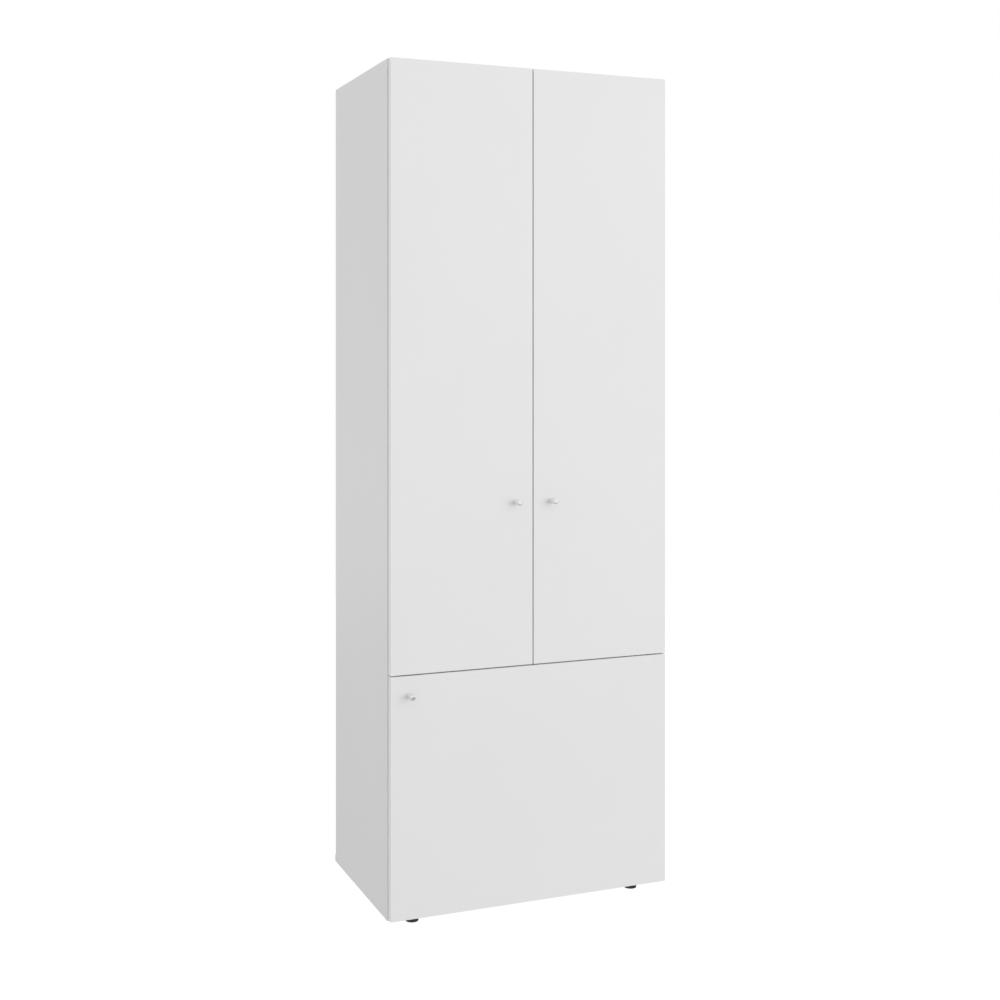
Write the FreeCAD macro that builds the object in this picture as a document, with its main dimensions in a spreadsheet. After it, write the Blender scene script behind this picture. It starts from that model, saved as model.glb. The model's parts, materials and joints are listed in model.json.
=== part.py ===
import FreeCAD, Part
import os
import re
import Sketcher

# Tall wardrobe: two upper doors, one full-width lower door, levelling feet.
# Frame: +X to the right, the doors face -Y, +Z up.  The origin is on the floor, in the
# middle of the width and of the depth, which is measured from the knobs to the rear edge.

Vector = FreeCAD.Vector
FLATNESS = 0.001
SMALLEST_CUT = 0.01

# A new circle's centre and radius, until its constraints place and size it.
LOOSE_CENTRE = Vector(5, 5, 0)
LOOSE_RADIUS = 2

# Driving dimensions in millimetres: alias, value.
DIMENSIONS = [
    # carcass
    ("overall_width", 800),
    ("carcass_depth", 482.6),
    ("body_height", 2220),
    ("base_gap", 22),
    ("board", 19),
    ("rear_overhang", 6),
    ("back_thickness", 5),
    ("back_inset", 12),
    ("groove_depth", 7),
    ("groove_play", 0.2),
    # doors
    ("door_thickness", 19),
    ("front_gap", 2.4),
    ("door_reveal", 2),
    ("door_joint", 3),
    ("lower_door_height", 627.5),
    ("door_lift", 3.5),
    ("door_drop", 1),
    ("edge_round", 0.8),
    # knobs
    ("knob_diameter", 14),
    ("knob_length", 35),
    ("knob_round", 3),
    ("knob_inset", 50),
    ("upper_knob_rise", 433.5),
    ("knob_screw_bite", 10),
    ("knob_hole", 4.5),
    # shelves, pins and rail
    ("shelf_depth", 440),
    ("shelf_setback", 20),
    ("shelf_play", 1),
    ("hat_shelf_rise", 1240),
    ("lower_shelf_rise", 301),
    ("shelf_pin_inset", 60),
    ("shelf_pin_reach", 9),
    ("rail_drop", 56),
    ("rail_diameter", 25),
    ("rail_wall", 1.2),
    ("rail_screw_pitch", 22),
    ("socket_wall", 2),
    ("socket_diameter", 58),
    ("socket_flange", 3),
    ("socket_reach", 12),
    # joinery
    ("system_hole", 5),
    ("system_depth", 13),
    ("system_head", 8),
    ("system_head_height", 1.3),
    ("bore_play", 0.2),
    ("fitting_inset", 70),
    ("dowel_inset", 110),
    ("dowel_diameter", 8),
    ("dowel_bite", 12),
    ("dowel_reach", 16),
    ("end_play", 1),
    ("cam_diameter", 15),
    ("cam_height", 12),
    ("cam_distance", 34),
    ("bottom_screw", 7),
    ("bottom_screw_head", 10),
    ("bottom_screw_bite", 32),
    ("bottom_screw_recess", 1),
    ("back_screw", 3.5),
    ("back_screw_bite", 20),
    ("back_screw_margin", 115),
    ("drive_span", 3.6),
    ("drive_slot", 0.8),
    ("drive_depth", 0.6),
    # hinges: a cup in the door, one pivot pin across it, a bent arm on the side panel
    ("cup_diameter", 35),
    ("cup_depth", 13),
    ("cup_wall", 0.8),
    ("cup_edge", 3),
    ("cup_fit", 0.1),
    ("pin_depth", 9),
    ("pin_edge", 7),
    ("pin_diameter", 2.5),
    ("pin_play", 0.05),
    ("cheek_start", 4.8),
    ("cheek_width", 2.2),
    ("cheek_inset", 1.6),
    ("cheek_length", 5.9),
    ("cheek_rise", 3.5),
    ("rim_diameter", 37),
    ("flange_thickness", 1),
    ("flange_width", 12),
    ("flange_half", 29),
    ("cup_screw_pitch", 24),
    ("cup_screw_offset", 6),
    ("arm_standoff", 2.1),
    ("arm_thickness", 2.6),
    ("arm_width", 7),
    ("arm_length", 62),
    ("arm_screw_place", 52),
    ("eye_diameter", 4.4),
    ("plate_place", 37),
    ("plate_half", 26),
    ("plate_width", 18),
    ("plate_thickness", 2),
    ("plate_screw_pitch", 16),
    ("hinge_inset", 100),
    # bumpers
    ("bumper_diameter", 7),
    ("bumper_height", 2.2),
    ("bumper_inset", 20),
    # levelling feet
    ("foot_inset_side", 80),
    ("foot_inset_front", 38),
    ("foot_inset_rear", 60),
    ("pad_diameter", 34),
    ("pad_height", 7),
    ("pad_round", 1.5),
    ("collar_diameter", 20),
    ("collar_height", 12),
    ("spindle_diameter", 8),
    ("spindle_start", 3),
    ("spindle_end", 32),
    ("insert_diameter", 12),
    ("insert_flange", 24),
    ("insert_lip", 1.5),
    ("insert_length", 16),
    # wall brackets
    ("bracket_leg", 40),
    ("bracket_width", 24),
    ("bracket_thickness", 2),
    ("bracket_half_pitch", 280),
    ("bracket_hole", 6),
    ("bracket_hole_drop", 25),
    ("bracket_screw_bite", 14),
    ("wall_hole", 8),
]

ALIASES = {alias for alias, _ in DIMENSIONS}

# Planes and lengths that several pieces share, as formulas of the sheet's aliases.
FRONT = "(knob_length + door_thickness + front_gap - carcass_depth - rear_overhang) / 2"
REAR = f"({FRONT} + carcass_depth)"
DOOR_BACK = f"({FRONT} - front_gap)"
DOOR_FRONT = f"({DOOR_BACK} - door_thickness)"
HALF_WIDTH = "(overall_width / 2)"
HALF_INSIDE = f"({HALF_WIDTH} - board)"
INSIDE_WIDTH = "(overall_width - 2 * board)"
TOP = "(base_gap + body_height)"
SIDE_BASE = "(base_gap + board)"
SIDE_HEIGHT = "(body_height - board)"
BACK_FRONT = f"({REAR} - back_inset - back_thickness)"
PANEL_DEPTH = "(carcass_depth - back_inset - back_thickness - groove_play)"
DOOR_BASE = "(base_gap + door_lift)"
MEETING = f"({DOOR_BASE} + lower_door_height + door_joint / 2)"
UPPER_BASE = f"({MEETING} + door_joint / 2)"
UPPER_HEIGHT = f"({TOP} - door_drop - {UPPER_BASE})"
MIDDLE_BASE = f"({MEETING} - board / 2)"
HALF_DOORS = f"({HALF_WIDTH} - door_reveal)"
UPPER_WIDTH = f"({HALF_DOORS} - door_joint / 2)"
LOWER_WIDTH = f"(2 * {HALF_DOORS})"
HAT_BASE = f"({MIDDLE_BASE} + board + hat_shelf_rise)"
LOWER_SHELF_BASE = f"({SIDE_BASE} + lower_shelf_rise)"
RAIL_HEIGHT = f"({HAT_BASE} - rail_drop)"
RAIL_PLACE = f"({FRONT} + carcass_depth / 2)"
CUP_CENTRE = "(cup_edge + cup_diameter / 2)"
TOP_AXIS = f"({TOP} - board / 2)"

# Each door: name, lower left corner, width, height, hinged on the left, hinge count.
DOORS = {
    "left": {"x": f"(-{HALF_DOORS})", "z": UPPER_BASE, "width": UPPER_WIDTH,
             "height": UPPER_HEIGHT, "hinged_left": True, "hinges": 3},
    "right": {"x": "(door_joint / 2)", "z": UPPER_BASE, "width": UPPER_WIDTH,
              "height": UPPER_HEIGHT, "hinged_left": False, "hinges": 3},
    "lower": {"x": f"(-{HALF_DOORS})", "z": DOOR_BASE, "width": LOWER_WIDTH,
              "height": "lower_door_height", "hinged_left": False, "hinges": 2},
}

document = FreeCAD.newDocument("wardrobe")
pieces = []


def make_sheet():
    """Put the driving dimensions in a spreadsheet, one alias for each."""
    sheet = document.addObject("Spreadsheet::Sheet", "Sizes")
    for row, (alias, value) in enumerate(DIMENSIONS, start=1):
        sheet.set(f"A{row}", alias)
        sheet.set(f"B{row}", str(value))
        sheet.setAlias(f"B{row}", alias)
    document.recompute()


def bind(item, path, formula):
    """Bind a property to a formula of the sheet's aliases."""
    def linked(word):
        return "Sizes." + word.group() if word.group() in ALIASES else word.group()
    item.setExpression(path, re.sub(r"[a-z][a-z_]+", linked, formula))


def new_body(label, x="0", y="0", z="0", flipped=False):
    """Start a sub-part at a place; flipped turns it half a turn about Y."""
    body = document.addObject("PartDesign::Body", label)
    body.Label = label
    if flipped:
        body.Placement.Rotation = FreeCAD.Rotation(Vector(0, 1, 0), 180)
    bind(body, "Placement.Base.x", x)
    bind(body, "Placement.Base.y", y)
    bind(body, "Placement.Base.z", z)
    pieces.append(body)
    return body


def origin_feature(body, role):
    """Return the body's own origin plane or axis with this role."""
    return next(item for item in body.Origin.OriginFeatures if item.Role == role)


def dimension(sketch, kind, ids, formula):
    """Add one driving constraint bound to a formula."""
    index = sketch.addConstraint(Sketcher.Constraint(kind, *ids, 1.0))
    bind(sketch, f"Constraints[{index}]", formula)


def circle(x, y, diameter):
    """Return a shape that draws a circle in a sketch."""
    def draw(sketch):
        index = sketch.addGeometry(Part.Circle(LOOSE_CENTRE, Vector(0, 0, 1), LOOSE_RADIUS), False)
        dimension(sketch, "Diameter", (index,), diameter)
        dimension(sketch, "DistanceX", (-1, 1, index, 3), x)
        dimension(sketch, "DistanceY", (-1, 1, index, 3), y)
    return draw


def polygon(points):
    """Return a shape that draws a closed outline through points given as formulas."""
    def draw(sketch):
        first = sketch.GeometryCount
        count = len(points)
        start = [Vector(index, index * index, 0) for index in range(count)]
        for index in range(count):
            sketch.addGeometry(Part.LineSegment(start[index], start[(index + 1) % count]), False)
        for index in range(count):
            following = first + (index + 1) % count
            sketch.addConstraint(Sketcher.Constraint("Coincident", first + index, 2, following, 1))
        for index, (x, y) in enumerate(points):
            dimension(sketch, "DistanceX", (-1, 1, first + index, 1), x)
            dimension(sketch, "DistanceY", (-1, 1, first + index, 1), y)
    return draw


def rectangle(x, y, width, height):
    """Return a shape that draws a rectangle from its lower left corner."""
    right = f"({x}) + ({width})"
    upper = f"({y}) + ({height})"
    return polygon([(x, y), (right, y), (right, upper), (x, upper)])


def extrude(body, kind, plane, at, length, shapes, onward=True):
    """Pad or pocket shapes drawn on a plane at a height, along its world axis or against it."""
    sketch = body.newObject("Sketcher::SketchObject", f"{body.Name}_sketch")
    sketch.AttachmentSupport = [(origin_feature(body, f"{plane}_Plane"), "")]
    sketch.MapMode = "FlatFace"
    faces_back = plane == "XZ"
    bind(sketch, "AttachmentOffset.Base.z", f"-({at})" if faces_back else at)
    for draw in shapes:
        draw(sketch)
    feature = body.newObject(f"PartDesign::{kind}", f"{body.Name}_{kind.lower()}")
    feature.Profile = sketch
    bind(feature, "Length", length)
    normal_is_onward = not faces_back
    feature.Reversed = (onward != normal_is_onward) if kind == "Pad" else (onward == normal_is_onward)
    return feature


def dress(body, size, chosen):
    """Round the edges of the tip that a test picks by their box and the tip's box."""
    document.recompute()
    base = body.Tip
    whole = base.Shape.BoundBox
    names = [f"Edge{index}" for index, edge in enumerate(base.Shape.Edges, start=1)
             if chosen(edge.BoundBox, whole)]
    feature = body.newObject("PartDesign::Fillet", f"{body.Name}_fillet")
    feature.Base = (base, names)
    bind(feature, "Radius", size)
    return feature


def at_front(edge, whole):
    """Tell whether an edge lies in the front face."""
    return edge.YMax < whole.YMin + FLATNESS


def at_top(edge, whole):
    """Tell whether an edge lies in the top face."""
    return edge.ZMin > whole.ZMax - FLATNESS


def at_front_or_top(edge, whole):
    """Tell whether an edge lies in the front face or in the top face."""
    return at_front(edge, whole) or at_top(edge, whole)


def anywhere(edge, whole):
    """Take every edge."""
    return True


def cut_drives(body, plane, at, centres, onward, scale="1"):
    """Cut a cross recess into the face of each screw head."""
    span = f"{scale} * drive_span"
    slot = f"{scale} * drive_slot"
    features = []
    for wide, tall in ((span, slot), (slot, span)):
        arms = [rectangle(f"({x}) - {wide} / 2", f"({y}) - {tall} / 2", wide, tall) for x, y in centres]
        features.append(extrude(body, "Pocket", plane, at, f"{scale} * drive_depth", arms, onward))
    return features


def repeat(body, features, axis, length, count):
    """Repeat features along an axis, from the first place over a length."""
    pattern = body.newObject("PartDesign::LinearPattern", f"{body.Name}_pattern")
    pattern.Originals = features
    pattern.Direction = (origin_feature(body, f"{axis}_Axis"), [""])
    bind(pattern, "Length", length)
    pattern.Occurrences = count
    body.Tip = pattern
    return pattern


def hinge_span(door):
    """Distance from a door's first hinge to its last."""
    return f"({door['height']} - 2 * hinge_inset)"


def hinge_places(door, start):
    """Heights of a door's hinges, from the door's lower edge plus start."""
    steps = door["hinges"] - 1
    return [f"({start}) + hinge_inset + {hinge_span(door)} * {step} / {steps}"
            for step in range(door["hinges"])]


def plate_holes(side):
    """Heights of the mounting plate screws on one side panel, above the floor."""
    heights = []
    for door in DOORS.values():
        if door["hinged_left"] == (side == "left"):
            for place in hinge_places(door, door["z"]):
                heights.append(f"({place}) - plate_screw_pitch")
                heights.append(f"({place}) + plate_screw_pitch")
    return heights


def make_side(side):
    """Side panel on the bottom board, grooved for the back, drilled on its inner face."""
    outer = f"-{HALF_WIDTH}" if side == "left" else HALF_INSIDE
    body = new_body(f"side_panel_{side}", outer, FRONT, SIDE_BASE)
    extrude(body, "Pad", "XY", "0", SIDE_HEIGHT, [rectangle("0", "0", "board", "carcass_depth")])
    dress(body, "edge_round", at_front_or_top)
    inner = "board" if side == "left" else "0"
    into_board = side == "right"
    groove = rectangle("carcass_depth - back_inset - back_thickness - groove_play", "0",
                       "back_thickness + 2 * groove_play", SIDE_HEIGHT)
    extrude(body, "Pocket", "YZ", inner, "groove_depth", [groove], into_board)
    pin_rows = ["shelf_setback + shelf_pin_inset", "shelf_setback + shelf_depth - shelf_pin_inset"]
    holes = [(place, f"{shelf} - {SIDE_BASE} - system_hole / 2")
             for place in pin_rows for shelf in (HAT_BASE, LOWER_SHELF_BASE)]
    holes += [("plate_place", f"({height}) - {SIDE_BASE}") for height in plate_holes(side)]
    levels = (f"{TOP_AXIS} - {SIDE_BASE}", f"{MEETING} - {SIDE_BASE}")
    holes += [(place, level) for level in levels
              for place in ("fitting_inset", "carcass_depth - 2 * fitting_inset")]
    holes += [("carcass_depth / 2", f"{RAIL_HEIGHT} - {SIDE_BASE} {sign} rail_screw_pitch") for sign in "-+"]
    extrude(body, "Pocket", "YZ", inner, "system_depth + bore_play",
            [circle(y, z, "system_hole + bore_play") for y, z in holes], into_board)
    dowels = [circle(place, level, "dowel_diameter + bore_play") for level in levels
              for place in ("dowel_inset", "carcass_depth - dowel_inset - fitting_inset")]
    extrude(body, "Pocket", "YZ", inner, "dowel_bite + end_play", dowels, into_board)
    screws = [circle("board / 2", place, "bottom_screw + bore_play")
              for place in ("fitting_inset", "carcass_depth - fitting_inset")]
    extrude(body, "Pocket", "XY", "0", "bottom_screw_bite + bore_play", screws)


def joinery_cuts(body):
    """Cam pockets in the underside and bores in both ends of a horizontal panel."""
    ends = ("0", INSIDE_WIDTH)
    rows = ("fitting_inset", "carcass_depth - 2 * fitting_inset")
    cams = [circle(x, y, "cam_diameter + bore_play")
            for x in ("cam_distance", f"{INSIDE_WIDTH} - cam_distance") for y in rows]
    extrude(body, "Pocket", "XY", "0", "cam_height + bore_play", cams)
    for index, end in enumerate(ends):
        bores = [circle(y, "board / 2", "dowel_diameter + bore_play") for y in rows]
        extrude(body, "Pocket", "YZ", end, "cam_distance", bores, index == 0)
        dowels = [circle(y, "board / 2", "dowel_diameter + bore_play")
                  for y in ("dowel_inset", "carcass_depth - dowel_inset - fitting_inset")]
        extrude(body, "Pocket", "YZ", end, "dowel_reach + end_play", dowels, index == 0)


def back_screw_places():
    """Places of the back panel screws across the inside width."""
    return ["back_screw_margin", f"{INSIDE_WIDTH} / 2", f"{INSIDE_WIDTH} - back_screw_margin"]


def make_fixed_panel(label, base):
    """Horizontal panel between the sides, in front of the back panel."""
    body = new_body(label, f"-{HALF_INSIDE}", FRONT, base)
    extrude(body, "Pad", "XY", "0", "board", [rectangle("0", "0", INSIDE_WIDTH, PANEL_DEPTH)])
    dress(body, "edge_round", at_front)
    joinery_cuts(body)
    bores = [circle(x, "board / 2", "back_screw + bore_play") for x in back_screw_places()]
    extrude(body, "Pocket", "XZ", PANEL_DEPTH, "back_screw_bite", bores, False)
    return body


def make_top_panel():
    """Fixed panel between the sides at the top, with pilot bores for the wall brackets."""
    body = make_fixed_panel("top_panel", f"{TOP} - board")
    place = f"{BACK_FRONT} - bracket_leg / 2 - {FRONT}"
    extrude(body, "Pocket", "XY", "0", "bracket_screw_bite + bore_play",
            [circle(f"{HALF_INSIDE} {sign} bracket_half_pitch", place, "back_screw + bore_play")
             for sign in "-+"])


def foot_places():
    """Centres of the four feet, by name, in the wardrobe's frame."""
    side = f"({HALF_WIDTH} - foot_inset_side)"
    front = f"({FRONT} + foot_inset_front)"
    rear = f"({REAR} - foot_inset_rear)"
    return {"front_left": (f"-{side}", front), "front_right": (side, front),
            "rear_left": (f"-{side}", rear), "rear_right": (side, rear)}


def side_screw_places():
    """Centres of the screws that go up through the bottom board into the sides."""
    across = f"({HALF_WIDTH} - board / 2)"
    return [(f"{sign}{across}", place) for sign in ("-", "")
            for place in (f"{FRONT} + fitting_inset", f"{REAR} - fitting_inset")]


def make_bottom_board():
    """Board under the sides, a little deeper at the rear, bored for screws and inserts."""
    body = new_body("bottom_board", "0", "0", "base_gap")
    extrude(body, "Pad", "XY", "0", "board",
            [rectangle(f"-{HALF_WIDTH}", FRONT, "overall_width", "carcass_depth + rear_overhang")])
    dress(body, "edge_round", anywhere)
    extrude(body, "Pocket", "XY", "0", "board",
            [circle(x, y, "bottom_screw + bore_play") for x, y in side_screw_places()])
    extrude(body, "Pocket", "XY", "0", "bottom_screw_head / 2",
            [circle(x, y, "bottom_screw_head + bore_play") for x, y in side_screw_places()])
    extrude(body, "Pocket", "XY", "0", "insert_length + bore_play",
            [circle(x, y, "insert_diameter + bore_play") for x, y in foot_places().values()])


def make_back():
    """Thin back panel held in the grooves of the sides."""
    width = f"{INSIDE_WIDTH} + 2 * (groove_depth - groove_play)"
    body = new_body("back_panel", f"-{HALF_INSIDE} - groove_depth + groove_play", BACK_FRONT, SIDE_BASE)
    extrude(body, "Pad", "XY", "0", SIDE_HEIGHT, [rectangle("0", "0", width, "back_thickness")])
    shift = "groove_depth - groove_play"
    screws = [circle(f"{x} + {shift}", f"{level} - {SIDE_BASE}", "back_screw + bore_play")
              for x in back_screw_places() for level in (TOP_AXIS, MEETING)]
    wall_holes = [circle(f"({width}) / 2 {sign} bracket_half_pitch",
                         f"{TOP} - board - bracket_hole_drop - {SIDE_BASE}", "wall_hole") for sign in "-+"]
    extrude(body, "Pocket", "XZ", "0", "back_thickness", screws + wall_holes)


def make_shelf(label, base):
    """Loose shelf lying on shelf pins."""
    body = new_body(label, f"-{HALF_INSIDE} + shelf_play", f"{FRONT} + shelf_setback", base)
    extrude(body, "Pad", "XY", "0", "board",
            [rectangle("0", "0", f"{INSIDE_WIDTH} - 2 * shelf_play", "shelf_depth")])
    dress(body, "edge_round", at_front)


def make_shelf_pins():
    """Eight pins in the side panels, four under each loose shelf."""
    body = new_body("shelf_pins")
    rows = [f"{FRONT} + shelf_setback + shelf_pin_inset",
            f"{FRONT} + shelf_setback + shelf_depth - shelf_pin_inset"]
    pins = [circle(y, f"{shelf} - system_hole / 2", "system_hole - bore_play")
            for y in rows for shelf in (HAT_BASE, LOWER_SHELF_BASE)]
    length = "shelf_pin_reach + system_depth - end_play"
    extrude(body, "Pad", "YZ", f"-{HALF_INSIDE} + shelf_pin_reach", length, pins, False)
    extrude(body, "Pad", "YZ", f"{HALF_INSIDE} - shelf_pin_reach", length, pins)


def make_rail():
    """Round tube for clothes hangers between its two sockets."""
    start = f"-{HALF_INSIDE} + socket_flange + bore_play"
    body = new_body("clothes_rail", start, RAIL_PLACE, RAIL_HEIGHT)
    length = f"{INSIDE_WIDTH} - 2 * (socket_flange + bore_play)"
    extrude(body, "Pad", "YZ", "0", length, [circle("0", "0", "rail_diameter")])
    extrude(body, "Pocket", "YZ", "0", length, [circle("0", "0", "rail_diameter - 2 * rail_wall")])


def make_rail_socket(side):
    """Round flange on the side panel with a collar round the end of the rail."""
    flipped = side == "right"
    body = new_body(f"rail_socket_{side}", HALF_INSIDE if flipped else f"-{HALF_INSIDE}",
                    RAIL_PLACE, RAIL_HEIGHT, flipped)
    extrude(body, "Pad", "YZ", "0", "socket_flange", [circle("0", "0", "socket_diameter")])
    collar = "rail_diameter + 2 * socket_wall + 2 * bore_play"
    extrude(body, "Pad", "YZ", "0", "socket_reach", [circle("0", "0", collar)])
    extrude(body, "Pocket", "YZ", "socket_flange", "socket_reach",
            [circle("0", "0", "rail_diameter + 2 * bore_play")])
    extrude(body, "Pocket", "YZ", "0", "socket_flange",
            [circle("0", f"{sign}rail_screw_pitch", "system_hole + bore_play") for sign in ("-", "")])


def side_screws(label, places, head_at):
    """Screws in both side panels; places maps a side to its list of (y, z) centres."""
    body = new_body(label)
    for side, centres in places.items():
        leftward = side == "left"
        sign = "-" if leftward else ""
        seat = f"{sign}({HALF_INSIDE} - ({head_at}))"
        face = f"{sign}({HALF_INSIDE} - ({head_at}) - system_head_height)"
        shanks = [circle(y, z, "system_hole") for y, z in centres]
        heads = [circle(y, z, "system_head") for y, z in centres]
        extrude(body, "Pad", "YZ", seat, f"system_depth - end_play + ({head_at})", shanks, not leftward)
        extrude(body, "Pad", "YZ", seat, "system_head_height", heads, leftward)
        cut_drives(body, "YZ", face, centres, not leftward)


def make_rail_screws():
    """Two screws through each rail socket's flange."""
    centres = [(RAIL_PLACE, f"{RAIL_HEIGHT} {sign} rail_screw_pitch") for sign in "-+"]
    side_screws("rail_screws", {"left": centres, "right": centres}, "socket_flange")


def make_plate_screws():
    """Two screws through each hinge mounting plate."""
    places = {side: [(f"{FRONT} + plate_place", height) for height in plate_holes(side)]
              for side in ("left", "right")}
    side_screws("plate_screws", places, "plate_thickness")


def make_cam_fittings():
    """Cam locks in the fixed panels and the bolts that they draw in."""
    rows = [f"{FRONT} + fitting_inset", f"{REAR} - 2 * fitting_inset"]
    bases = (f"({TOP} - board)", MIDDLE_BASE)
    locks = new_body("cam_locks")
    centres = [(f"{sign}({HALF_INSIDE} - cam_distance)", y) for sign in ("-", "") for y in rows]
    cams = [circle(x, y, "cam_diameter") for x, y in centres]
    for base in bases:
        extrude(locks, "Pad", "XY", base, "cam_height", cams)
        cut_drives(locks, "XY", base, centres, True, "2")
    for sign, onward in (("-", True), ("", False)):
        mouths = [circle(y, f"{base} + board / 2", "dowel_diameter") for y in rows for base in bases]
        extrude(locks, "Pocket", "YZ", f"{sign}({HALF_INSIDE} - cam_distance + cam_diameter)",
                "cam_diameter", mouths, onward)
    bolts = new_body("cam_bolts")
    for sign, onward in (("-", True), ("", False)):
        shafts = [circle(y, f"{base} + board / 2", "system_hole") for y in rows for base in bases]
        extrude(bolts, "Pad", "YZ", f"{sign}({HALF_INSIDE} + system_depth - end_play)",
                "cam_distance + system_depth - 2 * end_play", shafts, onward)


def make_dowels():
    """Wooden dowels between the fixed panels and the sides."""
    body = new_body("dowels")
    rows = [f"{FRONT} + dowel_inset", f"{REAR} - dowel_inset - fitting_inset"]
    for sign, onward in (("-", True), ("", False)):
        rods = [circle(y, level, "dowel_diameter") for y in rows for level in (TOP_AXIS, MEETING)]
        extrude(body, "Pad", "YZ", f"{sign}({HALF_INSIDE} + dowel_bite)", "dowel_bite + dowel_reach",
                rods, onward)


def make_bottom_screws():
    """Connector screws up through the bottom board into the sides."""
    body = new_body("bottom_screws")
    seat = "base_gap + bottom_screw_recess"
    shanks = [circle(x, y, "bottom_screw") for x, y in side_screw_places()]
    heads = [circle(x, y, "bottom_screw_head") for x, y in side_screw_places()]
    extrude(body, "Pad", "XY", seat, "board + bottom_screw_bite - bottom_screw_recess", shanks)
    extrude(body, "Pad", "XY", seat, "bottom_screw_head / 2 - bottom_screw_recess", heads)
    cut_drives(body, "XY", seat, side_screw_places(), True, "2")


def make_back_screws():
    """Screws through the back panel into the top panel and the middle shelf."""
    body = new_body("back_panel_screws")
    centres = [(f"-{HALF_INSIDE} + {x}", level) for x in back_screw_places() for level in (TOP_AXIS, MEETING)]
    seat = f"{BACK_FRONT} + back_thickness"
    shanks = [circle(x, z, "back_screw") for x, z in centres]
    heads = [circle(x, z, "2 * back_screw") for x, z in centres]
    extrude(body, "Pad", "XZ", seat, "back_screw_bite", shanks, False)
    extrude(body, "Pad", "XZ", seat, "back_screw / 2", heads)
    cut_drives(body, "XZ", f"{seat} + back_screw / 2", centres, False)


def make_wall_bracket(side):
    """Steel angle under the top panel, against the back panel, for a screw into the wall."""
    centre = "-bracket_half_pitch" if side == "left" else "bracket_half_pitch"
    body = new_body(f"wall_bracket_{side}", centre, BACK_FRONT, f"{TOP} - board")
    half = "bracket_width / 2"
    leg = [("-groove_play", "0"), ("-bracket_leg", "0"), ("-bracket_leg", "-bracket_thickness"),
           ("-bracket_thickness - groove_play", "-bracket_thickness"),
           ("-bracket_thickness - groove_play", "-bracket_leg"), ("-groove_play", "-bracket_leg")]
    extrude(body, "Pad", "YZ", f"-{half}", "bracket_width", [polygon(leg)])
    extrude(body, "Pocket", "XZ", "-bracket_leg / 2", "bracket_leg",
            [circle("0", "-bracket_hole_drop", "bracket_hole")])
    extrude(body, "Pocket", "XY", "-bracket_leg / 2", "bracket_leg",
            [circle("0", "-bracket_leg / 2", "back_screw + bore_play")])


def make_bracket_screws():
    """One screw through each wall bracket into the top panel."""
    body = new_body("bracket_screws")
    place = f"{BACK_FRONT} - bracket_leg / 2"
    seat = f"{TOP} - board - bracket_thickness"
    centres = [("-bracket_half_pitch", place), ("bracket_half_pitch", place)]
    for diameter, length, onward in (("back_screw", "bracket_thickness + bracket_screw_bite", True),
                                     ("2 * back_screw", "back_screw / 2", False)):
        dots = [circle(x, y, diameter) for x, y in centres]
        extrude(body, "Pad", "XY", seat, length, dots, onward)
    cut_drives(body, "XY", f"{seat} - back_screw / 2", centres, True)


def make_foot_inserts():
    """Flanged threaded inserts in the bottom board for the foot spindles."""
    body = new_body("foot_inserts")
    places = foot_places().values()
    sleeves = [circle(x, y, "insert_diameter") for x, y in places]
    flanges = [circle(x, y, "insert_flange") for x, y in places]
    extrude(body, "Pad", "XY", "base_gap", "insert_length", sleeves)
    extrude(body, "Pad", "XY", "base_gap", "insert_lip", flanges, False)
    extrude(body, "Pocket", "XY", "base_gap - insert_lip", "insert_length + insert_lip",
            [circle(x, y, "spindle_diameter + bore_play") for x, y in places])


def make_foot(name, place):
    """Round floor pad with a collar, and the threaded spindle that stands in it."""
    pad = new_body(f"foot_pad_{name}", place[0], place[1])
    extrude(pad, "Pad", "XY", "0", "pad_height", [circle("0", "0", "pad_diameter")])
    dress(pad, "pad_round", at_top)
    extrude(pad, "Pad", "XY", "0", "collar_height", [circle("0", "0", "collar_diameter")])
    extrude(pad, "Pocket", "XY", "spindle_start", "collar_height",
            [circle("0", "0", "spindle_diameter + bore_play")])
    spindle = new_body(f"foot_spindle_{name}", place[0], place[1])
    extrude(spindle, "Pad", "XY", "spindle_start", "spindle_end - spindle_start",
            [circle("0", "0", "spindle_diameter")])


def knob_place(name):
    """Centre of a door's knob in the door's own frame."""
    door = DOORS[name]
    if name == "lower":
        return "knob_inset", f"{door['height']} - knob_inset"
    across = f"{door['width']} - knob_inset" if name == "left" else "knob_inset"
    return across, "upper_knob_rise"


def from_hinge_edge(door, distance):
    """Distance across a door from its left edge, given one from its hinged edge."""
    return distance if door["hinged_left"] else f"{door['width']} - ({distance})"


def make_door(name):
    """Door leaf with eased edges, cup bores in its back and a hole for the knob's screw."""
    door = DOORS[name]
    body = new_body(f"{name}_door", door["x"], DOOR_FRONT, door["z"])
    extrude(body, "Pad", "XZ", "0", "door_thickness", [rectangle("0", "0", door["width"], door["height"])])
    dress(body, "edge_round", anywhere)
    cups = []
    pilots = []
    for place in hinge_places(door, "0"):
        cups.append(circle(from_hinge_edge(door, CUP_CENTRE), place, "cup_diameter"))
        across = from_hinge_edge(door, f"{CUP_CENTRE} + cup_screw_offset")
        for sign in "-+":
            pilots.append(circle(across, f"{place} {sign} cup_screw_pitch", "back_screw + bore_play"))
    extrude(body, "Pocket", "XZ", "door_thickness", "cup_depth + bore_play", cups, False)
    extrude(body, "Pocket", "XZ", "door_thickness", "cup_depth", pilots, False)
    x, z = knob_place(name)
    extrude(body, "Pocket", "XZ", "0", "door_thickness", [circle(x, z, "knob_hole")])


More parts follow.
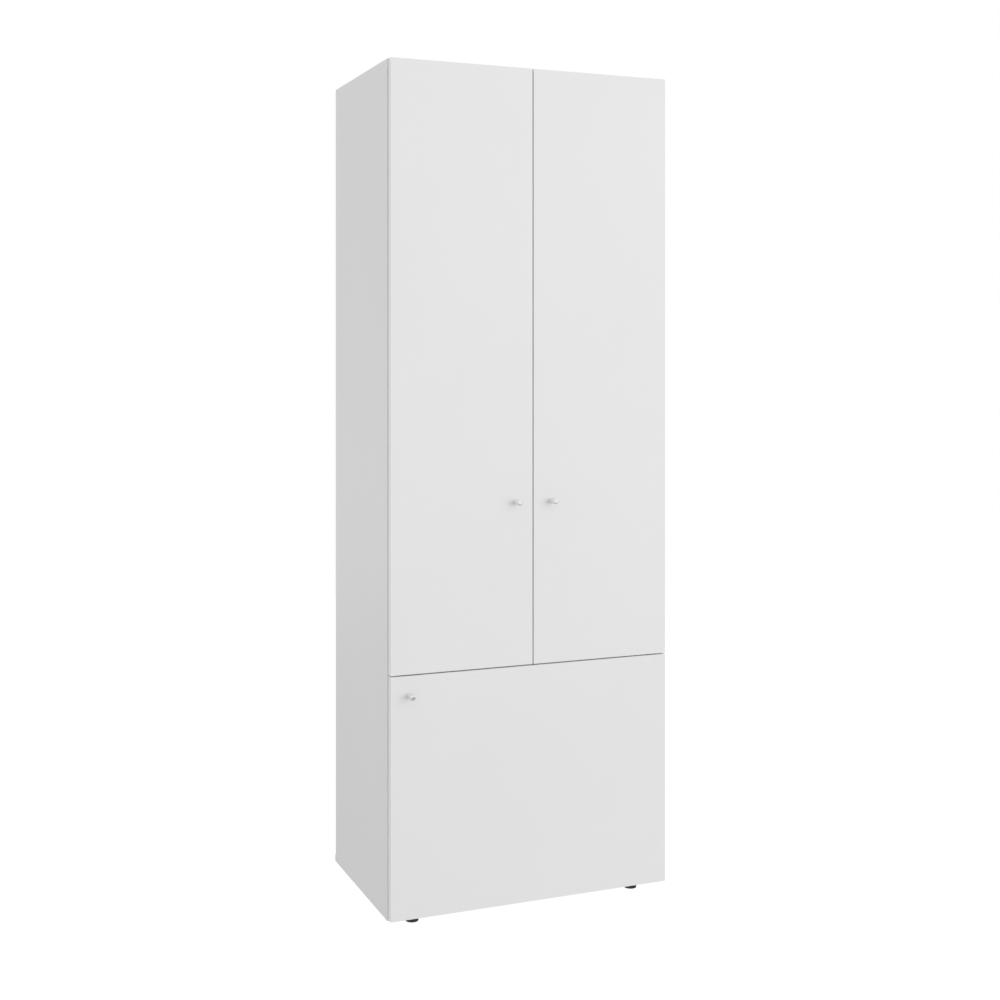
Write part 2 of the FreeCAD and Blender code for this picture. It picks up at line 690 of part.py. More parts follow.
def make_knob(name):
    """Plain round knob with a rounded front rim and a blind hole for its screw."""
    door = DOORS[name]
    x, z = knob_place(name)
    place = (f"{door['x']} + {x}", DOOR_FRONT, f"{door['z']} + {z}")
    knob = new_body(f"knob_{name}", *place)
    extrude(knob, "Pad", "XZ", "0", "knob_length", [circle("0", "0", "knob_diameter")], False)
    dress(knob, "knob_round", at_front)
    extrude(knob, "Pocket", "XZ", "0", "knob_screw_bite + 2 * end_play",
            [circle("0", "0", "back_screw + bore_play")], False)
    screw = new_body(f"knob_screw_{name}", *place)
    extrude(screw, "Pad", "XZ", "door_thickness", "door_thickness + knob_screw_bite",
            [circle("0", "0", "back_screw")], False)
    extrude(screw, "Pad", "XZ", "door_thickness", "back_screw / 2", [circle("0", "0", "2 * back_screw")])
    cut_drives(screw, "XZ", "door_thickness + back_screw / 2", [("0", "0")], False)


def hinge_body(label, name):
    """Start a piece that repeats at each hinge of a door.

    Its frame has X from the side panel's inner face into the wardrobe, Y from the
    panel's front edge towards the rear and Z from the lowest hinge, or from the
    highest one on the right, where the piece is turned over.
    """
    door = DOORS[name]
    places = hinge_places(door, door["z"])
    if door["hinged_left"]:
        return new_body(f"{label}_{name}", f"-{HALF_INSIDE}", FRONT, places[0])
    return new_body(f"{label}_{name}", HALF_INSIDE, FRONT, places[-1], True)


DOOR_EDGE = "(door_reveal - board)"
PIN_X = f"({DOOR_EDGE} + pin_edge)"
PIN_Y = "(-front_gap - pin_depth)"
CUP_X = f"({DOOR_EDGE} + {CUP_CENTRE})"


def make_hinge_cups(name):
    """Round steel cups with a screw flange and two cheeks that hold the pivot pin."""
    body = hinge_body("hinge_cups", name)
    seat = "-front_gap"
    outer = "cup_diameter - 2 * cup_fit"
    features = [
        extrude(body, "Pad", "XZ", seat, "cup_depth", [circle(CUP_X, "0", outer)], False),
        extrude(body, "Pad", "XZ", seat, "flange_thickness",
                [rectangle(f"{CUP_X} + cup_screw_offset - flange_width / 2", "-flange_half",
                           "flange_width", "2 * flange_half")]),
        extrude(body, "Pad", "XZ", seat, "flange_thickness", [circle(CUP_X, "0", "rim_diameter")]),
        extrude(body, "Pocket", "XZ", "-front_gap + flange_thickness",
                "cup_depth + flange_thickness - cup_wall",
                [circle(CUP_X, "0", f"{outer} - 2 * cup_wall")], False),
    ]
    floor = "(-front_gap - cup_depth + cup_wall / 2)"
    cheek = rectangle(f"{CUP_X} - cup_diameter / 2 + cheek_inset", floor, "cheek_length",
                      f"{PIN_Y} + cheek_rise - {floor}")
    for at in ("-cheek_start - cheek_width", "cheek_start"):
        features.append(extrude(body, "Pad", "XY", at, "cheek_width", [cheek]))
    features.append(extrude(body, "Pocket", "XY", "-cheek_start - cheek_width",
                            "2 * (cheek_start + cheek_width)",
                            [circle(PIN_X, PIN_Y, "pin_diameter + 2 * pin_play")]))
    features.append(extrude(body, "Pocket", "XZ", "-front_gap", "flange_thickness",
                            [circle(f"{CUP_X} + cup_screw_offset", f"{sign}cup_screw_pitch",
                                    "back_screw + bore_play") for sign in ("-", "")]))
    repeat(body, features, "Z", hinge_span(DOORS[name]), DOORS[name]["hinges"])


def make_hinge_pins(name):
    """Pivot pins across the hinge cups."""
    body = hinge_body("hinge_pins", name)
    reach = "(cheek_start + cheek_width)"
    pin = extrude(body, "Pad", "XY", f"-{reach}", f"2 * {reach}", [circle(PIN_X, PIN_Y, "pin_diameter")])
    repeat(body, [pin], "Z", hinge_span(DOORS[name]), DOORS[name]["hinges"])


def make_cup_screws(name):
    """Two screws through each cup's flange into the door."""
    body = hinge_body("cup_screws", name)
    centres = [(f"{CUP_X} + cup_screw_offset", f"{sign}cup_screw_pitch") for sign in ("-", "")]
    seat = "-front_gap + flange_thickness"
    shanks = [circle(x, z, "back_screw") for x, z in centres]
    heads = [circle(x, z, "2 * back_screw") for x, z in centres]
    features = [
        extrude(body, "Pad", "XZ", seat, "cup_depth", shanks, False),
        extrude(body, "Pad", "XZ", seat, "back_screw / 4", heads),
    ]
    features += cut_drives(body, "XZ", f"{seat} + back_screw / 4", centres, False)
    repeat(body, features, "Z", hinge_span(DOORS[name]), DOORS[name]["hinges"])


def make_hinge_arms(name):
    """Bent arms with an eye on the pivot pin, lying on the mounting plates."""
    body = hinge_body("hinge_arms", name)
    near = f"({PIN_Y} - eye_diameter / 2 + bore_play)"
    far = f"({near} + arm_thickness)"
    outer = "(arm_standoff + arm_thickness)"
    bend = [(PIN_X, near), (outer, near), (outer, "arm_length"), ("arm_standoff", "arm_length"),
            ("arm_standoff", far), (PIN_X, far)]
    features = [
        extrude(body, "Pad", "XY", "-arm_width / 2", "arm_width", [polygon(bend)]),
        extrude(body, "Pad", "XY", "-arm_width / 2", "arm_width", [circle(PIN_X, PIN_Y, "eye_diameter")]),
        extrude(body, "Pocket", "XY", "-arm_width / 2", "arm_width",
                [circle(PIN_X, PIN_Y, "pin_diameter + 2 * pin_play")]),
        extrude(body, "Pocket", "YZ", "arm_standoff", "arm_thickness",
                [circle("arm_screw_place", "0", "back_screw + bore_play")]),
    ]
    repeat(body, features, "Z", hinge_span(DOORS[name]), DOORS[name]["hinges"])


def make_hinge_plates(name):
    """Cross-shaped mounting plates screwed to the side panel."""
    body = hinge_body("hinge_plates", name)
    wing = rectangle("plate_place - plate_width / 2", "-plate_half", "plate_width", "2 * plate_half")
    rib = rectangle("plate_place - plate_width", "-arm_width", "arm_length - plate_place + plate_width",
                    "2 * arm_width")
    features = [
        extrude(body, "Pad", "YZ", "0", "plate_thickness", [wing]),
        extrude(body, "Pad", "YZ", "0", "plate_thickness", [rib]),
        extrude(body, "Pocket", "YZ", "0", "plate_thickness",
                [circle("plate_place", f"{sign}plate_screw_pitch", "system_hole + bore_play")
                 for sign in ("-", "")] +
                [circle("arm_screw_place", "0", "back_screw + bore_play")]),
    ]
    repeat(body, features, "Z", hinge_span(DOORS[name]), DOORS[name]["hinges"])


def make_arm_screws():
    """One screw that clamps each hinge arm to its mounting plate."""
    body = new_body("arm_screws")
    face = "(arm_standoff + arm_thickness)"
    for leftward in (True, False):
        sign = "-" if leftward else ""
        seat = f"{sign}({HALF_INSIDE} - {face})"
        heights = [place for door in DOORS.values() if door["hinged_left"] == leftward
                   for place in hinge_places(door, door["z"])]
        place = f"{FRONT} + arm_screw_place"
        extrude(body, "Pad", "YZ", seat, f"{face} - bore_play",
                [circle(place, height, "back_screw") for height in heights], not leftward)
        extrude(body, "Pad", "YZ", seat, "back_screw / 2",
                [circle(place, height, "2 * back_screw") for height in heights], leftward)
        cut_drives(body, "YZ", f"{sign}({HALF_INSIDE} - {face} - back_screw / 2)",
                   [(place, height) for height in heights], not leftward)


def make_bumpers(name):
    """Two soft bumpers behind a door's free corners."""
    door = DOORS[name]
    body = new_body(f"door_bumpers_{name}", door["x"], DOOR_BACK, door["z"])
    across = from_hinge_edge(door, f"{door['width']} - bumper_inset")
    margin = "(bumper_diameter / 2 + edge_round)"
    heights = (margin, f"{door['height']} - {margin}")
    extrude(body, "Pad", "XZ", "0", "bumper_height",
            [circle(across, height, "bumper_diameter") for height in heights])


def build():
    """Make every sub-part."""
    make_sheet()
    for side in ("left", "right"):
        make_side(side)
        make_rail_socket(side)
        make_wall_bracket(side)
    make_top_panel()
    make_fixed_panel("middle_shelf", MIDDLE_BASE)
    make_bottom_board()
    make_back()
    make_shelf("hat_shelf", HAT_BASE)
    make_shelf("lower_shelf", LOWER_SHELF_BASE)
    make_shelf_pins()
    make_rail()
    make_rail_screws()
    make_cam_fittings()
    make_dowels()
    make_bottom_screws()
    make_back_screws()
    make_bracket_screws()
    make_foot_inserts()
    for name, place in foot_places().items():
        make_foot(name, place)
    for name in DOORS:
        make_door(name)
        make_knob(name)
        make_bumpers(name)
        make_hinge_cups(name)
        make_hinge_pins(name)
        make_cup_screws(name)
        make_hinge_arms(name)
        make_hinge_plates(name)
    make_plate_screws()
    make_arm_screws()
    document.recompute()


def check():
    """Stop at any failed feature, unsound shape or pocket that removes nothing."""
    for item in document.Objects:
        faults = [state for state in item.State if state in ("Invalid", "Error")]
        if faults:
            raise RuntimeError(f"{item.Name} is {faults}")
        if item.TypeId == "PartDesign::Pocket":
            before = item.BaseFeature.Shape.Volume
            if item.Shape.Volume > before - SMALLEST_CUT:
                raise RuntimeError(f"{item.Name} removes nothing")
    for body in pieces:
        if body.Shape.isNull() or not body.Shape.isValid():
            raise RuntimeError(f"{body.Label} has no sound shape")


def export():
    """Write each sub-part to its own file."""
    os.makedirs("parts", exist_ok=True)
    for body in pieces:
        body.Shape.exportStep(os.path.join("parts", body.Label + ".step"))


build()
check()
export()
print(len(pieces), "sub-parts")
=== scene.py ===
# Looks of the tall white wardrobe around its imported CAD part: finishes, feet, stage and camera.
# Lengths are in metres, in the frame of the CAD part: +X right, the doors face -Y, +Z up.
import json
import math

import bpy
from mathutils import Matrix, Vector


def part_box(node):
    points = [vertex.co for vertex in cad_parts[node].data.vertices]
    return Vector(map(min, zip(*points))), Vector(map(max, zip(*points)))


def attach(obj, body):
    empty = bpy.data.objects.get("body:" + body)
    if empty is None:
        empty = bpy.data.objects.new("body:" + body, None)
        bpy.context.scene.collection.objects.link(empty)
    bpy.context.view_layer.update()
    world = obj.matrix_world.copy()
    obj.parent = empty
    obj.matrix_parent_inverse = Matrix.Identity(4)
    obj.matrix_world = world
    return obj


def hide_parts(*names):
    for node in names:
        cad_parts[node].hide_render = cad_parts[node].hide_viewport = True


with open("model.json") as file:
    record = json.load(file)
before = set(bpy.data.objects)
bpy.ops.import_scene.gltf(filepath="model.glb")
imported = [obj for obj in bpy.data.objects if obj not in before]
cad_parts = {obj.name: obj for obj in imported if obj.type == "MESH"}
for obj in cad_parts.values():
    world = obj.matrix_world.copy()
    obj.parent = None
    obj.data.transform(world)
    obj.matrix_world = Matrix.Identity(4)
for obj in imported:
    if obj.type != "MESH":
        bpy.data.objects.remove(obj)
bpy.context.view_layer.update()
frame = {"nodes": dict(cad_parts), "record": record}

MILLIMETRE = 0.001


class Finish:
    """A Principled material, with short calls that add nodes to it."""

    def __init__(self, name, **values):
        self.material = bpy.data.materials.new(name)
        self.material.use_nodes = True
        self.tree = self.material.node_tree
        self.shader = self.tree.nodes["Principled BSDF"]
        for socket, value in values.items():
            self.shader.inputs[socket.replace("_", " ")].default_value = value
        self.coordinates = self.node("ShaderNodeTexCoord")

    def node(self, kind, **settings):
        """Add a node with these properties."""
        made = self.tree.nodes.new(kind)
        for name, value in settings.items():
            setattr(made, name, value)
        return made

    def join(self, target, value):
        """Put a number, a colour or another node's output into a socket."""
        if isinstance(value, bpy.types.NodeSocket):
            self.tree.links.new(value, target)
        else:
            target.default_value = value

    def place(self, centre=(0, 0, 0), stretch=(1, 1, 1)):
        """Object coordinates from a centre, scaled along each axis."""
        mapping = self.node("ShaderNodeMapping")
        self.join(mapping.inputs["Vector"], self.coordinates.outputs["Object"])
        mapping.inputs["Location"].default_value = [-c * s for c, s in zip(centre, stretch)]
        mapping.inputs["Scale"].default_value = stretch
        return mapping.outputs["Vector"]

    def noise(self, grain, detail, roughness, where=None, distortion=0.0):
        """Smooth noise whose features are about one grain wide; detail adds finer ones."""
        made = self.node("ShaderNodeTexNoise")
        self.join(made.inputs["Vector"], where or self.coordinates.outputs["Object"])
        made.inputs["Scale"].default_value = 1 / grain
        made.inputs["Detail"].default_value = detail
        made.inputs["Roughness"].default_value = roughness
        made.inputs["Distortion"].default_value = distortion
        return made.outputs["Fac"]

    def spread(self, value, low, high, start=0.0, end=1.0):
        """Map a value from start..end to low..high."""
        made = self.node("ShaderNodeMapRange")
        self.join(made.inputs["Value"], value)
        for name, number in (("From Min", start), ("From Max", end), ("To Min", low), ("To Max", high)):
            made.inputs[name].default_value = number
        return made.outputs["Result"]

    def rise(self, value, start, end):
        """0 where a value is below start, 1 where it is above end, and a slope between."""
        return self.spread(value, 0.0, 1.0, start, end)

    def maths(self, operation, first, second=0.0):
        """One math operation on one or two values."""
        made = self.node("ShaderNodeMath", operation=operation)
        self.join(made.inputs[0], first)
        self.join(made.inputs[1], second)
        return made.outputs["Value"]

    def tint(self, amount, first, second):
        """Mix two colours by an amount."""
        made = self.node("ShaderNodeMix", data_type="RGBA")
        self.join(made.inputs["Factor"], amount)
        for socket, colour in zip([i for i in made.inputs if i.type == "RGBA"], (first, second)):
            self.join(socket, colour)
        return next(o for o in made.outputs if o.type == "RGBA")

    def relief(self, height, depth, strength):
        """Bump from a height of 0 to 1, with its depth in metres."""
        made = self.node("ShaderNodeBump")
        made.inputs["Strength"].default_value = strength
        made.inputs["Distance"].default_value = depth
        self.join(made.inputs["Height"], height)
        return made.outputs["Normal"]

    def facing(self, axis):
        """How far the surface faces along an axis, either way: from 0 to 1."""
        parts = self.node("ShaderNodeSeparateXYZ")
        self.join(parts.inputs["Vector"], self.coordinates.outputs["Normal"])
        return self.maths("ABSOLUTE", parts.outputs[axis])

    def set(self, **sockets):
        """Put values or outputs into sockets of the shader, and give the material."""
        for socket, value in sockets.items():
            self.join(self.shader.inputs[socket.replace("_", " ")], value)
        return self.material


def grey(value, warmth=0.0):
    """A near-neutral colour."""
    return (value * (1 + warmth), value, value * (1 - warmth), 1.0)


def board_finish(name, tone, roughness, pearl, axis):
    """Melamine or lacquered board: fine pearl relief, faint clouds and specks, banded edges."""
    finish = Finish(name, IOR=1.5)
    dull, clear = grey(tone * 0.993), grey(tone * 1.004)
    speck_tone, band_tone, seam_tone = grey(tone * 0.975), grey(tone * 1.01), grey(tone * 0.86)
    speck_cover, band_cover, seam_cover = 0.4, 0.6, 0.35
    wear, band_gloss = 0.035, 0.06

    edge = finish.maths("SUBTRACT", 1.0, finish.facing(axis))
    band = finish.rise(edge, 0.35, 0.75)
    inner = finish.spread(edge, 1.0, 0.0, start=0.3, end=0.55)
    seam = finish.maths("MULTIPLY", finish.rise(edge, 0.04, 0.16), inner)
    cloud = finish.noise(350 * MILLIMETRE, detail=3.0, roughness=0.55)
    speck = finish.noise(2.2 * MILLIMETRE, detail=3.0, roughness=0.6)
    worn = finish.noise(30 * MILLIMETRE, detail=4.0, roughness=0.6)
    grain = finish.noise(pearl, detail=2.0, roughness=0.5)

    clouded = finish.tint(finish.rise(cloud, 0.35, 0.65), dull, clear)
    specked = finish.tint(finish.spread(speck, 0.0, speck_cover, start=0.5, end=0.85), clouded, speck_tone)
    banded = finish.tint(finish.maths("MULTIPLY", band, band_cover), specked, band_tone)
    seamed = finish.tint(finish.maths("MULTIPLY", seam, seam_cover), banded, seam_tone)
    rubbed = finish.spread(worn, roughness - wear, roughness + wear)
    shine = finish.maths("ADD", rubbed, finish.maths("MULTIPLY", band, -band_gloss))
    return finish.set(Base_Color=seamed, Roughness=shine,
                      Normal=finish.relief(grain, depth=0.02 * MILLIMETRE, strength=0.6))


def fibre_finish(name, tone):
    """Thin pale fibreboard: a soft fibre pattern under faint clouds."""
    finish = Finish(name, IOR=1.48)
    fibre_tone, cloud_tone, cloud_cover = grey(tone * 0.955), grey(tone * 0.965, 0.004), 0.35
    upward = finish.place(stretch=(1, 1, 0.35))
    fibre = finish.noise(4 * MILLIMETRE, detail=4.0, roughness=0.65, where=upward, distortion=0.8)
    cloud = finish.noise(120 * MILLIMETRE, detail=3.0, roughness=0.5)
    base = finish.tint(finish.rise(fibre, 0.3, 0.7), fibre_tone, grey(tone))
    clouded = finish.tint(finish.spread(cloud, 0.0, cloud_cover, start=0.4, end=0.7), base, cloud_tone)
    return finish.set(Base_Color=clouded, Roughness=finish.spread(fibre, 0.52, 0.64),
                      Normal=finish.relief(fibre, depth=0.05 * MILLIMETRE, strength=0.5))


def turned_finish(name, tone, centres):
    """Satin metal turned on a lathe about the Y axis: fine rings round the side, circles on the cap."""
    finish = Finish(name, Metallic=1.0, IOR=1.5)
    circle_pitch, ring_share, warmth = 0.28 * MILLIMETRE, 0.8, 0.004
    round_axis = finish.place(stretch=(0.05, 6.0, 0.05))
    rings = finish.noise(0.9 * MILLIMETRE, detail=3.0, roughness=0.6, where=round_axis)
    cap = finish.rise(finish.facing("Y"), 0.6, 0.9)
    nearest = None
    for centre in centres:
        offset = finish.node("ShaderNodeVectorMath", operation="LENGTH")
        finish.join(offset.inputs[0], finish.place(centre, (1, 0, 1)))
        radius = offset.outputs["Value"]
        nearest = radius if nearest is None else finish.maths("MINIMUM", nearest, radius)
    circles = finish.maths("SINE", finish.maths("MULTIPLY", nearest, 2 * math.pi / circle_pitch))
    turned_cap = finish.maths("MULTIPLY", cap, finish.rise(circles, -1.0, 1.0))
    lathe = finish.maths("ADD", turned_cap, finish.maths("MULTIPLY", rings, ring_share))
    base = finish.tint(rings, grey(tone * 0.93, warmth), grey(tone, warmth))
    return finish.set(Base_Color=base, Roughness=finish.spread(rings, 0.18, 0.28),
                      Normal=finish.relief(lathe, depth=0.008 * MILLIMETRE, strength=0.5))


def metal_finish(name, tone, roughness, grain, warmth=0.0, flake=0.0):
    """Plated steel: fine drawn texture, soft clouds and, where a flake size is given, pale flakes."""
    finish = Finish(name, Metallic=1.0, IOR=1.5)
    flake_tone, flake_cover = grey(tone * 1.1, -0.012), 0.5
    drawn = finish.noise(grain, detail=3.0, roughness=0.6, where=finish.place(stretch=(1, 1, 0.2)))
    cloud = finish.noise(6 * MILLIMETRE, detail=3.0, roughness=0.55)
    base = finish.tint(finish.rise(cloud, 0.3, 0.7), grey(tone * 0.88, warmth), grey(tone, warmth))
    if flake:
        cells = finish.node("ShaderNodeTexVoronoi")
        finish.join(cells.inputs["Vector"], finish.coordinates.outputs["Object"])
        cells.inputs["Scale"].default_value = 1 / flake
        base = finish.tint(finish.spread(cells.outputs["Color"], 0.0, flake_cover), base, flake_tone)
    return finish.set(Base_Color=base, Roughness=finish.spread(drawn, roughness - 0.06, roughness + 0.08),
                      Normal=finish.relief(drawn, depth=0.012 * MILLIMETRE, strength=0.4))


def plastic_finish(name, tone, roughness):
    """Moulded plastic with a fine spark-eroded skin and slightly rubbed high spots."""
    finish = Finish(name, IOR=1.47)
    skin = finish.noise(0.7 * MILLIMETRE, detail=3.0, roughness=0.65)
    rub = finish.noise(8 * MILLIMETRE, detail=4.0, roughness=0.6)
    base = finish.tint(finish.rise(rub, 0.35, 0.75), grey(tone), grey(tone * 1.2))
    return finish.set(Base_Color=base, Roughness=finish.spread(rub, roughness + 0.05, roughness - 0.08),
                      Normal=finish.relief(skin, depth=0.02 * MILLIMETRE, strength=0.6))


def beech_finish(name):
    """Bare beech along X: straight grain with short dark flecks."""
    finish = Finish(name, IOR=1.45)
    dark, light = (0.46, 0.29, 0.16, 1), (0.66, 0.46, 0.28, 1)
    fleck_tone, fleck_cover = (0.28, 0.16, 0.08, 1), 0.6
    straight, short = finish.place(stretch=(0.08, 1, 1)), finish.place(stretch=(0.3, 1, 1))
    grain = finish.noise(1.6 * MILLIMETRE, detail=4.0, roughness=0.6, where=straight)
    fleck = finish.noise(0.8 * MILLIMETRE, detail=2.0, roughness=0.5, where=short)
    base = finish.tint(grain, dark, light)
    marked = finish.tint(finish.spread(fleck, 0.0, fleck_cover, start=0.6, end=0.8), base, fleck_tone)
    return finish.set(Base_Color=marked, Roughness=finish.spread(grain, 0.5, 0.7),
                      Normal=finish.relief(grain, depth=0.06 * MILLIMETRE, strength=0.6))


def rubber_finish(name):
    """Soft milky bumper."""
    finish = Finish(name, IOR=1.43, Transmission_Weight=0.35, Subsurface_Weight=0.2,
                    Subsurface_Scale=2 * MILLIMETRE)
    haze = finish.noise(1.5 * MILLIMETRE, detail=3.0, roughness=0.6)
    return finish.set(Base_Color=finish.tint(haze, grey(0.78), grey(0.86)),
                      Roughness=finish.spread(haze, 0.28, 0.42),
                      Normal=finish.relief(haze, depth=0.02 * MILLIMETRE, strength=0.4))


def middle(node):
    """Centre of a CAD node's box."""
    low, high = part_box(node)
    return (low + high) / 2


KNOBS = ("knob_left", "knob_right", "knob_lower")

# After each name comes its tone and, for boards, plated metals and plastics, its roughness.
FINISHES = {
    "white_front": board_finish("front_lacquer", 0.845, 0.42, pearl=1.1 * MILLIMETRE, axis="Y"),
    "board_x": board_finish("melamine_upright", 0.79, 0.46, pearl=0.9 * MILLIMETRE, axis="X"),
    "board_z": board_finish("melamine_shelf", 0.79, 0.46, pearl=0.9 * MILLIMETRE, axis="Z"),
    "back_board": fibre_finish("fibreboard", 0.76),
    "knob_metal": turned_finish("turned_satin", 0.88, [middle(knob) for knob in KNOBS]),
    "hinge_steel": metal_finish("nickel_plate", 0.66, 0.26, grain=0.6 * MILLIMETRE, warmth=0.012),
    "zinc_steel": metal_finish("zinc_plate", 0.58, 0.36, grain=0.8 * MILLIMETRE, warmth=-0.006,
                               flake=1.2 * MILLIMETRE),
    "rail_chrome": metal_finish("rail_chrome", 0.78, 0.12, grain=0.5 * MILLIMETRE),
    "grey_plastic": plastic_finish("grey_moulding", 0.42, 0.45),
    "black_plastic": plastic_finish("black_moulding", 0.03, 0.6),
    "beech": beech_finish("beech"),
    "clear_rubber": rubber_finish("soft_bumper"),
}

# White boards share a slot but not a finish: these stand on end, and the others lie flat.
UPRIGHTS = ("side_panel_left", "side_panel_right")


def dress_nodes():
    """Give every CAD node the finish of its slot."""
    slots = {part["node"]: part["material_slot"] for part in frame["record"]["subparts"]}
    for name, node in frame["nodes"].items():
        finish = slots[name]
        if finish == "white_board":
            finish = "board_x" if name in UPRIGHTS else "board_z"
        node.data.materials.clear()
        node.data.materials.append(FINISHES[finish])


# Edges that bend by more than this angle, in degrees, stay sharp on the mesh pieces.
SHARP_ANGLE = 35


def mesh_object(name, vertices, faces, slot, body, replaced):
    """Make a smooth closed mesh piece that rides on a body in place of a CAD node."""
    mesh = bpy.data.meshes.new(name)
    mesh.from_pydata(vertices, [], faces)
    mesh.update()
    mesh.materials.append(FINISHES[slot])
    piece = bpy.data.objects.new(name, mesh)
    bpy.context.scene.collection.objects.link(piece)
    mesh.polygons.foreach_set("use_smooth", [True] * len(mesh.polygons))
    mesh.set_sharp_from_angle(angle=math.radians(SHARP_ANGLE))
    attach(piece, body)
    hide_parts(replaced)


def turned(profile, segments, centre, shape):
    """Vertices and faces of a solid of revolution about a vertical line.

    The profile runs from the axis, round the outside, back to the axis. The shape function
    gives each of its points a new radius at each angle.
    """
    vertices = []
    for radius, height in profile[1:-1]:
        for step in range(segments):
            angle = 2 * math.pi * step / segments
            reach = shape(radius, angle, height)
            vertices.append((centre[0] + reach * math.cos(angle), centre[1] + reach * math.sin(angle),
                             centre[2] + height))
    rings = len(profile) - 2
    faces = []
    for ring in range(rings - 1):
        for step in range(segments):
            following = (step + 1) % segments
            low, high = ring * segments, (ring + 1) * segments
            faces.append((low + step, low + following, high + following, high + step))
    for (_, height), ring in ((profile[0], 0), (profile[-1], rings - 1)):
        hub = len(vertices)
        vertices.append((centre[0], centre[1], centre[2] + height))
        for step in range(segments):
            following = (step + 1) % segments
            edge = (ring * segments + step, ring * segments + following)
            faces.append((edge[1], edge[0], hub) if ring == 0 else (edge[0], edge[1], hub))
    return vertices, faces


def rounded(radius, height, size, steps, start, end):
    """Points of a rounded corner about a centre, between two angles in degrees."""
    points = []
    for step in range(steps + 1):
        angle = math.radians(start + (end - start) * step / steps)
        points.append((radius + size * math.cos(angle), height + size * math.sin(angle)))
    return points


def round_part(node):
    """Centre of the lower end of a round upright CAD node, its radius and its height."""
    low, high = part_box(node)
    return ((low.x + high.x) / 2, (low.y + high.y) / 2, low.z), (high.x - low.x) / 2, high.z - low.z


FEET = ("front_left", "front_right", "rear_left", "rear_right")

# The pad is a disc with a ribbed rim, this share of its height, under a collar with a blind bore.
RIM_SHARE = 7 / 12
TOP_ROUNDING = 1.5 * MILLIMETRE
EDGE_ROUNDING = 0.5 * MILLIMETRE
TOP_STEPS = 5
EDGE_STEPS = 3
COLLAR_RADIUS = 10 * MILLIMETRE
BORE_RADIUS = 4.1 * MILLIMETRE
BORE_CHAMFER = 0.3 * MILLIMETRE
BORE_FLOOR = 3 * MILLIMETRE
RIBS = 48
RIB_DEPTH = 0.35 * MILLIMETRE
RIB_START = 1.6 * MILLIMETRE
SEGMENTS_PER_RIB = 6

# The spindle's ends are plain and narrower than its thread.
THREAD_PITCH = 1.25 * MILLIMETRE
THREAD_DEPTH = 0.6 * MILLIMETRE
ROWS_PER_PITCH = 6
SPINDLE_SEGMENTS = 48
END_SHARE = 0.8


def make_pad(foot):
    """Round pad with a ribbed rim, a collar and the bore for the spindle."""
    centre, outer, height = round_part(f"foot_pad_{foot}")
    rim = height * RIM_SHARE
    shoulder = rim - TOP_ROUNDING
    profile = [(0, 0)]
    profile += rounded(outer - EDGE_ROUNDING, EDGE_ROUNDING, EDGE_ROUNDING, EDGE_STEPS, -90, 0)
    profile += [(outer, RIB_START), (outer, shoulder - EDGE_ROUNDING)]
    profile += rounded(outer - TOP_ROUNDING, shoulder, TOP_ROUNDING, TOP_STEPS, 0, 90)
    profile += [(COLLAR_RADIUS + EDGE_ROUNDING, rim), (COLLAR_RADIUS, rim + EDGE_ROUNDING)]
    profile += rounded(COLLAR_RADIUS - EDGE_ROUNDING, height - EDGE_ROUNDING, EDGE_ROUNDING,
                       EDGE_STEPS, 0, 90)
    profile += [(BORE_RADIUS + BORE_CHAMFER, height), (BORE_RADIUS, height - BORE_CHAMFER)]
    profile += [(BORE_RADIUS, BORE_FLOOR), (0, BORE_FLOOR)]

    def ribbed(radius, angle, level):
        on_rim = radius > outer - EDGE_ROUNDING and EDGE_ROUNDING < level < shoulder
        return radius - RIB_DEPTH * max(0.0, math.cos(RIBS * angle)) if on_rim else radius

    vertices, faces = turned(profile, RIBS * SEGMENTS_PER_RIB, centre, ribbed)
    mesh_object(f"pad_{foot}", vertices, faces, "black_plastic", f"foot_{foot}", f"foot_pad_{foot}")


def make_spindle(foot):
    """Threaded rod: one helical groove from its lower end to its upper end."""
    centre, outer, length = round_part(f"foot_spindle_{foot}")
    rows = int(length / THREAD_PITCH * ROWS_PER_PITCH)
    profile = [(0, 0), (outer * END_SHARE, 0)]
    profile += [(outer, length * (row + 0.5) / rows) for row in range(rows)]
    profile += [(outer * END_SHARE, length), (0, length)]

    def threaded(radius, angle, level):
        if radius < outer:
            return radius
        turn = (level / THREAD_PITCH - angle / (2 * math.pi)) % 1.0
        return radius - THREAD_DEPTH * abs(2 * turn - 1)

    vertices, faces = turned(profile, SPINDLE_SEGMENTS, centre, threaded)
    mesh_object(f"spindle_{foot}", vertices, faces, "zinc_steel", f"foot_{foot}", f"foot_spindle_{foot}")


# Stage. The floor and the surroundings look white, and light the wardrobe less than they look.
WHITE = grey(1.0)
FLOOR_RADIUS = 5.0
FLOOR_SEGMENTS = 96

# Tone and emission are what the camera sees of the floor, glow is its light on the wardrobe,
# and mirrored is what its metal reflects.
FLOOR_TONE = 0.12
FLOOR_EMISSION = 0.95
FLOOR_GLOW = 0.69
FLOOR_MIRRORED = 0.42

# Strength of the surroundings as a light, and as the camera and reflections show them.
SURROUNDINGS_GLOW = 0.73
SURROUNDINGS_SEEN = 1.0


